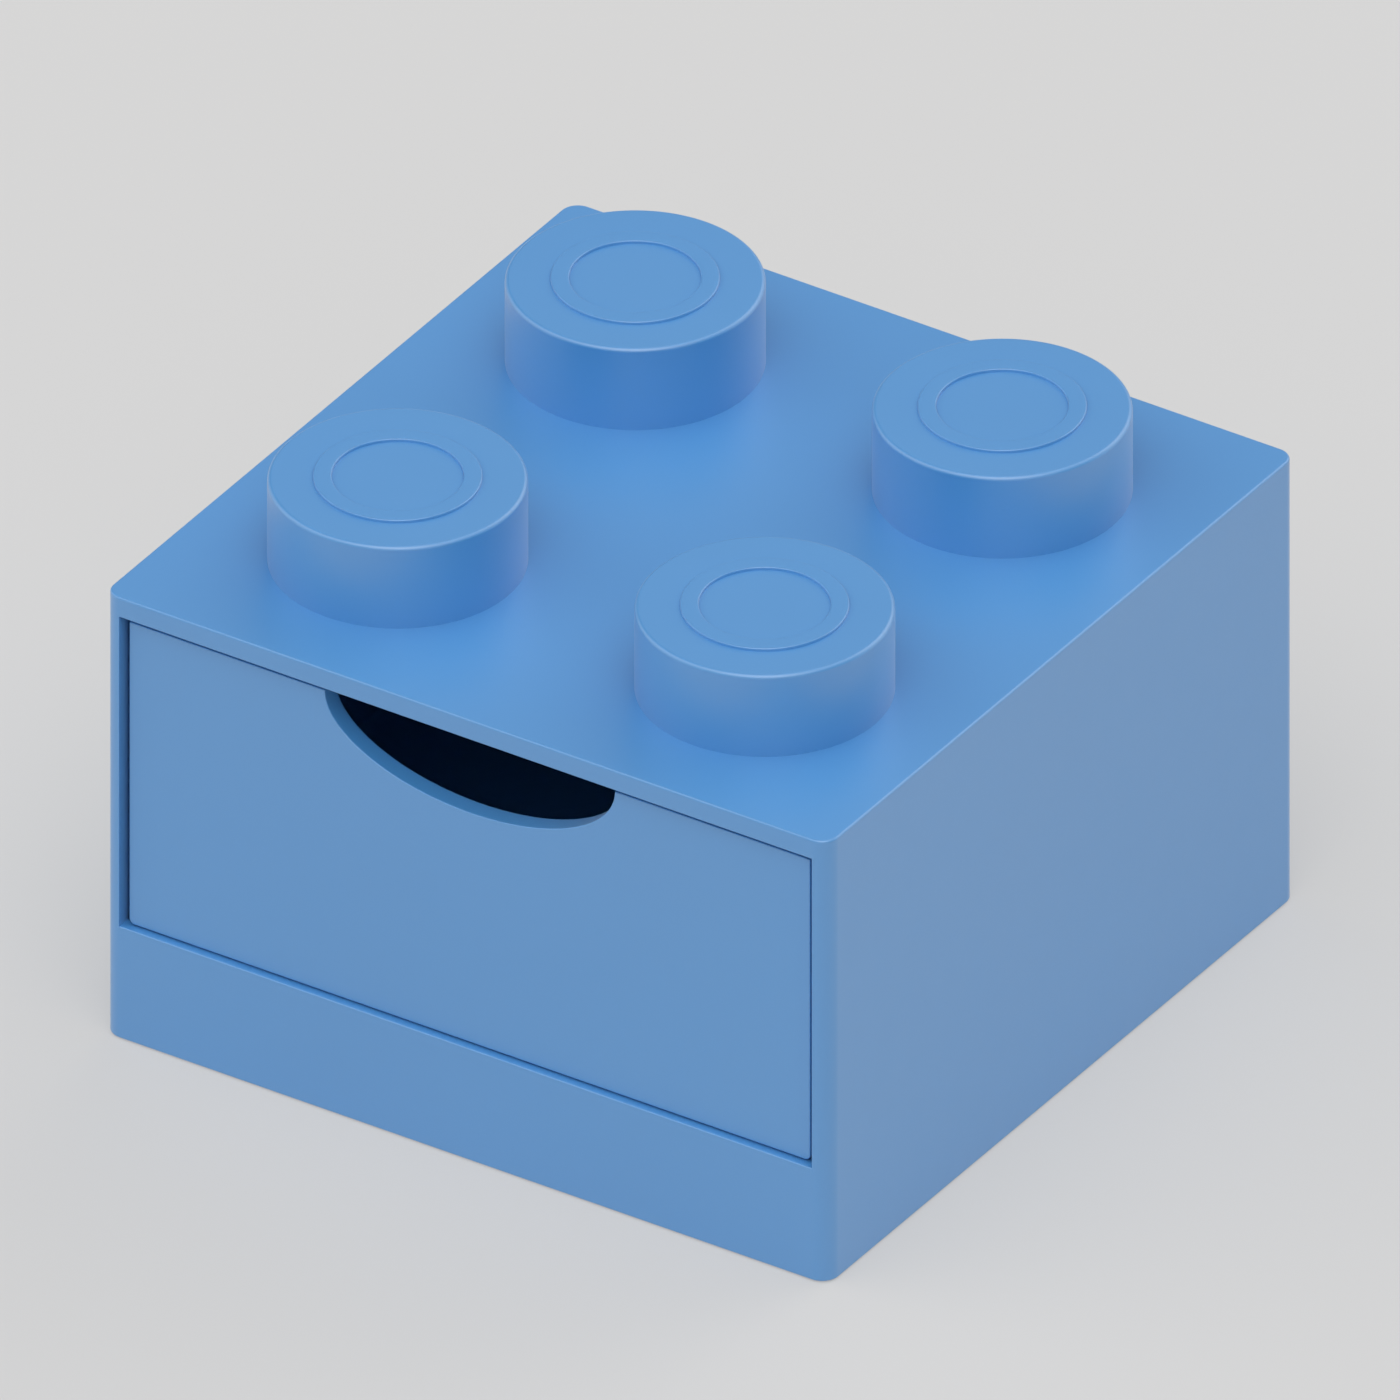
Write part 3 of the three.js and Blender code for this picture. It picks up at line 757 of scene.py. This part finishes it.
zinc = zinc_plate()
DECK_HEAD_RADIUS = 3.25 * MM
DECK_HEAD_HEIGHT = 2.2 * MM
screw_low, screw_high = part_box("deck_screw_front_left")
deck_screw = add_screw(
    "deck_screw",
    DECK_HEAD_RADIUS,
    DECK_HEAD_HEIGHT,
    screw_high.z - screw_low.z - DECK_HEAD_HEIGHT,
)
for place in CORNERS:
    screw_low, screw_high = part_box("deck_screw_" + place)
    spot = (screw_low + screw_high) / 2
    seat = Matrix.Translation((spot.x, spot.y, screw_low.z + DECK_HEAD_HEIGHT))
    screw = copy_to(deck_screw, "cross_head_deck_screw_" + place, seat)
    dress(screw, zinc, "casing", "screw_steel", "deck_screw_" + place)
discard(deck_screw)

# Feet: four round pads of matt black rubber, glued over the deck screws. Each has a recess for the
# screw's head, a softened tread edge and two grip grooves underneath.
FOOT_EDGE = 0.8 * MM
FOOT_RECESS_RADIUS = 3.55 * MM
GROOVE_WIDTH = 0.6 * MM
GROOVE_DEPTH = 0.35 * MM
GROOVE_RADII = (2.6 * MM, 4 * MM)
PAD_SIDES = 64


def arc(centre, radius, start, end, steps):
    """Profile points on an arc, its angles in degrees from the outward direction."""
    points = []
    for step in range(steps + 1):
        angle = math.radians(start + (end - start) * step / steps)
        points.append((centre[0] + radius * math.cos(angle), centre[1] + radius * math.sin(angle)))
    return points


foot_low, foot_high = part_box("foot_front_left")
foot_radius = (foot_high.x - foot_low.x) / 2
foot_height = foot_high.z - foot_low.z
recess_floor = pod_floor_bottom - DECK_HEAD_HEIGHT - SEAT_GAP
profile = [(0, 0)]
for radius in GROOVE_RADII:
    outer = radius + GROOVE_WIDTH
    profile += [(radius, 0), (radius, GROOVE_DEPTH), (outer, GROOVE_DEPTH), (outer, 0)]
top_edge = FOOT_EDGE / 2
profile += arc((foot_radius - FOOT_EDGE, FOOT_EDGE), FOOT_EDGE, -90, 0, steps=5)
profile += arc((foot_radius - top_edge, foot_height - top_edge), top_edge, 0, 90, steps=3)
profile += [(FOOT_RECESS_RADIUS, foot_height), (FOOT_RECESS_RADIUS, recess_floor)]
profile += [(0, recess_floor)]
foot = turned("foot", profile, PAD_SIDES)
polish(foot, TURNED_SHARP_ANGLE)

RUBBER_BLACK = (0.028, 0.029, 0.031)
RUBBER_ROUGHNESS = 0.82
RUBBER_GRAIN_DEPTH = 0.02 * MM
black_rubber = moulded(
    "matt_black_rubber",
    RUBBER_BLACK,
    RUBBER_ROUGHNESS,
    RUBBER_GRAIN_DEPTH,
    grain_scale=900,
    shade_change=0.2,
)
for place in CORNERS:
    low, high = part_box("foot_" + place)
    middle = (low + high) / 2
    pad = copy_to(foot, "rubber_foot_" + place, Matrix.Translation((middle.x, middle.y, low.z)))
    dress(pad, black_rubber, "casing", "foot_rubber", "foot_" + place)
discard(foot)

# Glide strips: low-friction tape, off-white, pressed onto the deck's two ribs for the drawer to
# slide on. Its ends are cut round.
STRIP_EDGE = 0.12 * MM
STRIP_END_RADIUS = 2.3 * MM
TAPE_WHITE = (0.79, 0.79, 0.75)
TAPE_ROUGHNESS = 0.34
TAPE_GRAIN_DEPTH = 0.004 * MM

glide_tape = moulded(
    "off_white_glide_tape",
    TAPE_WHITE,
    TAPE_ROUGHNESS,
    TAPE_GRAIN_DEPTH,
    grain_scale=1800,
    shade_change=0.06,
)
for side in SIDES:
    low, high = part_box("glide_strip_" + side)
    strip = add_box("glide_tape_" + side, low, high)
    round_edges(strip, upright, STRIP_END_RADIUS, steps=8)
    round_edges(strip, at_height(high.z), STRIP_EDGE, steps=2)
    polish(strip)
    dress(strip, glide_tape, "casing", "glide_plastic", "glide_strip_" + side)

# Rear bumpers: two rubber buttons glued to the back wall, which the drawer meets when it is shut.
# Their faces are domed, with a small dimple from the mould's gate in the middle.
BUMPER_FOOT_EDGE = 0.2 * MM
BUMPER_DOME = 0.8 * MM
BUMPER_DOME_STEPS = 12
DIMPLE_RADIUS = 0.7 * MM
DIMPLE_DEPTH = 0.2 * MM

low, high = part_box("rear_bumper_left")
bumper_radius = (high.x - low.x) / 2
bumper_height = high.y - low.y
dome_foot = bumper_height - BUMPER_DOME
profile = [(0, 0), (bumper_radius - BUMPER_FOOT_EDGE, 0), (bumper_radius, BUMPER_FOOT_EDGE)]
profile += [(bumper_radius, dome_foot / 2)]
for step in range(1, BUMPER_DOME_STEPS - 1):
    angle = step * math.pi / (2 * BUMPER_DOME_STEPS)
    dome_height = dome_foot + BUMPER_DOME * math.sin(angle)
    profile.append((bumper_radius * math.cos(angle), dome_height))
profile += [(DIMPLE_RADIUS, bumper_height), (DIMPLE_RADIUS / 2, bumper_height - DIMPLE_DEPTH)]
profile += [(0, bumper_height - DIMPLE_DEPTH)]
bumper = turned("bumper", profile, PAD_SIDES)
polish(bumper, TURNED_SHARP_ANGLE)
face_front = Matrix.Rotation(math.radians(90), 4, "X")
for side in SIDES:
    low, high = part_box("rear_bumper_" + side)
    middle = (low + high) / 2
    seat = Matrix.Translation((middle.x, high.y, middle.z)) @ face_front
    button = copy_to(bumper, "rubber_bumper_" + side, seat)
    dress(button, black_rubber, "casing", "foot_rubber", "rear_bumper_" + side)
discard(bumper)

# Drawer tray: an open box in the duller blue, one moulding with round corners and a rolled rim. Its
# front wall is scooped behind the finger notch and drilled for the front's bosses, and two hooks
# under its rear end catch the deck's stops.
TRAY_FLOOR = 2.4 * MM
TRAY_CORNER = 5 * MM
TRAY_BOTTOM_EDGE = 1 * MM
TRAY_FLOOR_FILLET = 1.6 * MM
TRAY_RIM_EDGE = 0.7 * MM
SCOOP_MARGIN = 3.4 * MM
SCOOP_EDGE = 0.35 * MM
HOOK_WIDTH = 8 * MM
HOOK_EDGE = 0.3 * MM
NOTCH_HALF_WIDTH = 31.6 * MM
NOTCH_DEPTH = 15.6 * MM
NOTCH_SIDES = 192
ELLIPSE_SLACK = 0.01
FRONT_BOSS_RADIUS = 3.3 * MM
FRONT_SCREWS = ["lower_left", "lower_right", "upper_left", "upper_right"]

front_low, front_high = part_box("drawer_front")


def notch_rod(margin, y0, y1):
    """An elliptical bar along Y that cuts the finger notch, grown by margin."""
    rod = add_rod("notch", 1, (0, y0, 0), (0, y1, 0), NOTCH_SIDES)
    rod.scale = (NOTCH_HALF_WIDTH + margin, 1, NOTCH_DEPTH + margin)
    rod.location = (0, 0, front_high.z)
    settle(rod)
    return rod


def front_screw_spots():
    """The middle of each front screw's axis, as x and z."""
    spots = []
    for place in FRONT_SCREWS:
        low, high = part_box("front_screw_" + place)
        spots.append(((low.x + high.x) / 2, (low.z + high.z) / 2))
    return spots


def round_ellipse(y, margin):
    """The edges round the notch's ellipse, grown by margin, on the face at depth y."""
    lowest = front_high.z - NOTCH_DEPTH - margin - TINY

    def wanted(a, b):
        middle = (a + b) / 2
        x_share = middle.x / (NOTCH_HALF_WIDTH + margin)
        z_share = (middle.z - front_high.z) / (NOTCH_DEPTH + margin)
        on_curve = abs(math.hypot(x_share, z_share) - 1) < ELLIPSE_SLACK
        return at_depth(y)(a, b) and on_curve and middle.z > lowest

    return wanted


tray_inner_low = Vector((tray_low.x + TRAY_WALL, tray_low.y + TRAY_WALL, TRAY_BOTTOM + TRAY_FLOOR))
tray_inner_high = Vector((tray_high.x - TRAY_WALL, tray_high.y - TRAY_WALL, tray_high.z + OVERRUN))
tray = add_box("open_drawer_tray", (tray_low.x, tray_low.y, TRAY_BOTTOM), tray_high)
round_edges(tray, upright, TRAY_CORNER, steps=10)
round_edges(tray, at_height(TRAY_BOTTOM), TRAY_BOTTOM_EDGE, steps=4)
round_edges(tray, at_height(tray_high.z), TRAY_RIM_EDGE, steps=5)
inside = add_box("inside", tray_inner_low, tray_inner_high)
round_edges(inside, upright, TRAY_CORNER - TRAY_WALL, steps=8)
round_edges(inside, at_height(tray_inner_low.z), TRAY_FLOOR_FILLET, steps=5)
cut(tray, inside)
round_edges(tray, round_hole(tray_high.z, tray_inner_low, tray_inner_high), TRAY_RIM_EDGE, steps=5)
tray_front_inner_y = tray_low.y + TRAY_WALL
cut(tray, notch_rod(SCOOP_MARGIN, tray_low.y - OVERRUN, tray_front_inner_y + OVERRUN))
round_edges(tray, round_ellipse(tray_low.y, SCOOP_MARGIN), SCOOP_EDGE, steps=3)
round_edges(tray, round_ellipse(tray_front_inner_y, SCOOP_MARGIN), SCOOP_EDGE, steps=3)
for x, z in front_screw_spots():
    hole_start = (x, tray_low.y - OVERRUN, z)
    hole_end = (x, tray_front_inner_y + OVERRUN, z)
    hole = add_rod("hole", FRONT_BOSS_RADIUS + SEAT_GAP, hole_start, hole_end, BOSS_SIDES)
    cut(tray, hole)
for side in SIDES.values():
    x = side * STOP_SPACING / 2
    hook = add_box(
        "hook",
        (x - HOOK_WIDTH / 2, hook_y - HOOK_LENGTH / 2, tray_low.z),
        (x + HOOK_WIDTH / 2, hook_y + HOOK_LENGTH / 2, TRAY_BOTTOM + TRAY_FLOOR / 2),
    )
    round_edges(hook, at_height(tray_low.z), HOOK_EDGE, steps=3)
    join(tray, hook)
polish(tray)
dress(tray, inner_plastic, "drawer", "inner_plastic", "drawer_tray")

# Drawer front: a moulded plate in the casing's blue, with a rim and a lining round the finger notch
# behind it. Four short bosses on its back go through the tray's front wall.
FRONT_THICKNESS = 4 * MM
FRONT_PLATE = 2.2 * MM
FRONT_RIM = 2 * MM
FRONT_CORNER = 1.2 * MM
FRONT_EDGE = 0.2 * MM
NOTCH_BACK_EDGE = 0.3 * MM


def lower_corners(a, b):
    """The two edges that run back from the front's lower corners."""
    runs_back = abs(a.x - b.x) < TINY and abs(a.z - b.z) < TINY
    return runs_back and a.z < front_low.z + TINY


front_back_y = front_low.y + FRONT_THICKNESS
front_plate_y = front_low.y + FRONT_PLATE
panel = add_box("notched_drawer_front", front_low, (front_high.x, front_back_y, front_high.z))
round_edges(panel, lower_corners, FRONT_CORNER, steps=10)
cut(panel, notch_rod(0, front_low.y - OVERRUN, front_back_y + OVERRUN))
round_edges(panel, at_depth(front_low.y), FRONT_EDGE, steps=5)
round_edges(panel, round_ellipse(front_back_y, 0), NOTCH_BACK_EDGE, steps=3)
recess = add_box(
    "recess",
    (front_low.x + FRONT_RIM, front_plate_y, front_low.z + FRONT_RIM),
    (front_high.x - FRONT_RIM, front_back_y + OVERRUN, front_high.z - FRONT_RIM),
)
cut(recess, notch_rod(FRONT_RIM, front_low.y - OVERRUN, front_back_y + 2 * OVERRUN))
cut(panel, recess)
for x, z in front_screw_spots():
    boss_start = (x, front_plate_y - FRONT_PLATE / 2, z)
    boss_end = (x, front_high.y, z)
    join(panel, add_rod("boss", FRONT_BOSS_RADIUS, boss_start, boss_end, BOSS_SIDES))
    bore_start = (x, front_plate_y, z)
    bore_end = (x, front_high.y + OVERRUN, z)
    cut(panel, add_rod("bore", BORE_RADIUS, bore_start, bore_end, BORE_SIDES))
polish(panel)
dress(panel, casing_plastic, "drawer", "casing_plastic", "drawer_front")

# Front screws: the same zinc-plated cross heads, shorter and wider. They go in from inside the tray
# and draw the front's bosses against its front wall.
FRONT_HEAD_RADIUS = 4.3 * MM
FRONT_HEAD_HEIGHT = 1.8 * MM

screw_low, screw_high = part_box("front_screw_lower_left")
front_screw = add_screw(
    "front_screw",
    FRONT_HEAD_RADIUS,
    FRONT_HEAD_HEIGHT,
    screw_high.y - screw_low.y - FRONT_HEAD_HEIGHT,
)
for place in FRONT_SCREWS:
    low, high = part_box("front_screw_" + place)
    middle = (low + high) / 2
    seat = Matrix.Translation((middle.x, high.y - FRONT_HEAD_HEIGHT, middle.z)) @ face_front
    screw = copy_to(front_screw, "cross_head_front_screw_" + place, seat)
    dress(screw, zinc, "drawer", "screw_steel", "front_screw_" + place)
discard(front_screw)

# Stage: a plain pale floor that keeps the object's shadow, six wide glows of soft light in the
# world with no lamps, and a camera at the photograph's angle that shows no perspective.
PHOTO_SIDE = 1400
PIXELS_PER_METRE = 5465
VIEW_AZIMUTH = math.radians(32.91)
VIEW_ELEVATION = math.radians(32.7)
VIEW_HEIGHT = 57.5 * MM
VIEW_DISTANCE = 1.5
FLOOR_HALF = 12
VIEW_REACH = 40
FLOOR_WHITE = (0.675, 0.668, 0.66)
FLOOR_ROUGHNESS = 0.9
BACKDROP_GREY = (0.652, 0.654, 0.658)
BACKDROP_SHARE = 0.5
LOWER_SKY = 0.685
SOFT_LIGHTS = [  # each glow's azimuth from +Y towards +X, elevation, focus and strength
    (12, 35, 8, 1.86),
    (147, 35, 8, 1.02),
    (237, 35, 8, 1.38),
    (147, 65, 6, 2.19),
    (270, 8, 10, 0.91),
    (45, 8, 10, 0.69),
]

bpy.ops.object.select_all(action="DESELECT")
bpy.ops.mesh.primitive_plane_add(size=2 * FLOOR_HALF, location=(0, 0, 0))
floor = bpy.context.object
floor.name = "floor"
floor_material, floor_tree, floor_shader = new_material("pale_floor")
floor_shader.inputs["Base Color"].default_value = (*FLOOR_WHITE, 1)
floor_shader.inputs["Roughness"].default_value = FLOOR_ROUGHNESS
floor_shader.inputs["Specular IOR Level"].default_value = 0
ray = floor_tree.nodes.new("ShaderNodeLightPath").outputs
seen = math_node(floor_tree, "MAXIMUM", ray["Is Camera Ray"], ray["Is Glossy Ray"])
seen = math_node(floor_tree, "MAXIMUM", seen, ray["Is Transmission Ray"])
backdrop = floor_tree.nodes.new("ShaderNodeEmission")
backdrop.inputs["Color"].default_value = (*BACKDROP_GREY, 1)
blend = floor_tree.nodes.new("ShaderNodeMixShader")
floor_tree.links.new(math_node(floor_tree, "MULTIPLY", seen, BACKDROP_SHARE), blend.inputs["Fac"])
floor_tree.links.new(floor_shader.outputs["BSDF"], blend.inputs[1])
floor_tree.links.new(backdrop.outputs["Emission"], blend.inputs[2])
floor_tree.links.new(blend.outputs["Shader"], floor_tree.nodes["Material Output"].inputs["Surface"])
floor.data.materials.append(floor_material)

world = bpy.data.worlds.new("studio")
world.use_nodes = True
bpy.context.scene.world = world
sky = world.node_tree
place = sky.nodes.new("ShaderNodeTexCoord")
glow = 0
for azimuth, elevation, focus, strength in SOFT_LIGHTS:
    turn, tilt = math.radians(azimuth), math.radians(elevation)
    facing = sky.nodes.new("ShaderNodeVectorMath")
    facing.operation = "DOT_PRODUCT"
    sky.links.new(place.outputs["Generated"], facing.inputs[0])
    facing.inputs[1].default_value = (
        math.sin(turn) * math.cos(tilt),
        math.cos(turn) * math.cos(tilt),
        math.sin(tilt),
    )
    spread = math_node(sky, "POWER", math_node(sky, "MAXIMUM", facing.outputs["Value"], 0), focus)
    glow = math_node(sky, "MULTIPLY_ADD", spread, strength, glow)
height = sky.nodes.new("ShaderNodeSeparateXYZ")
sky.links.new(place.outputs["Generated"], height.inputs["Vector"])
above = math_node(sky, "GREATER_THAN", height.outputs["Z"], 0)
extra = math_node(sky, "SUBTRACT", glow, LOWER_SKY)
glow = math_node(sky, "MULTIPLY_ADD", above, extra, LOWER_SKY)
background = sky.nodes["Background"]
background.inputs["Color"].default_value = (1, 1, 1, 1)
sky.links.new(glow, background.inputs["Strength"])

lens = bpy.data.cameras.new("camera")
lens.type = "ORTHO"
lens.ortho_scale = PHOTO_SIDE / PIXELS_PER_METRE
lens.clip_end = VIEW_REACH
camera = bpy.data.objects.new("camera", lens)
back = Vector((
    math.sin(VIEW_AZIMUTH) * math.cos(VIEW_ELEVATION),
    -math.cos(VIEW_AZIMUTH) * math.cos(VIEW_ELEVATION),
    math.sin(VIEW_ELEVATION),
))
target = Vector((0, 0, VIEW_HEIGHT))
camera.location = target + back * VIEW_DISTANCE
camera.rotation_euler = (-back).to_track_quat("-Z", "Y").to_euler()
bpy.context.scene.collection.objects.link(camera)
bpy.context.scene.camera = camera
bpy.context.scene.view_settings.view_transform = "Standard"
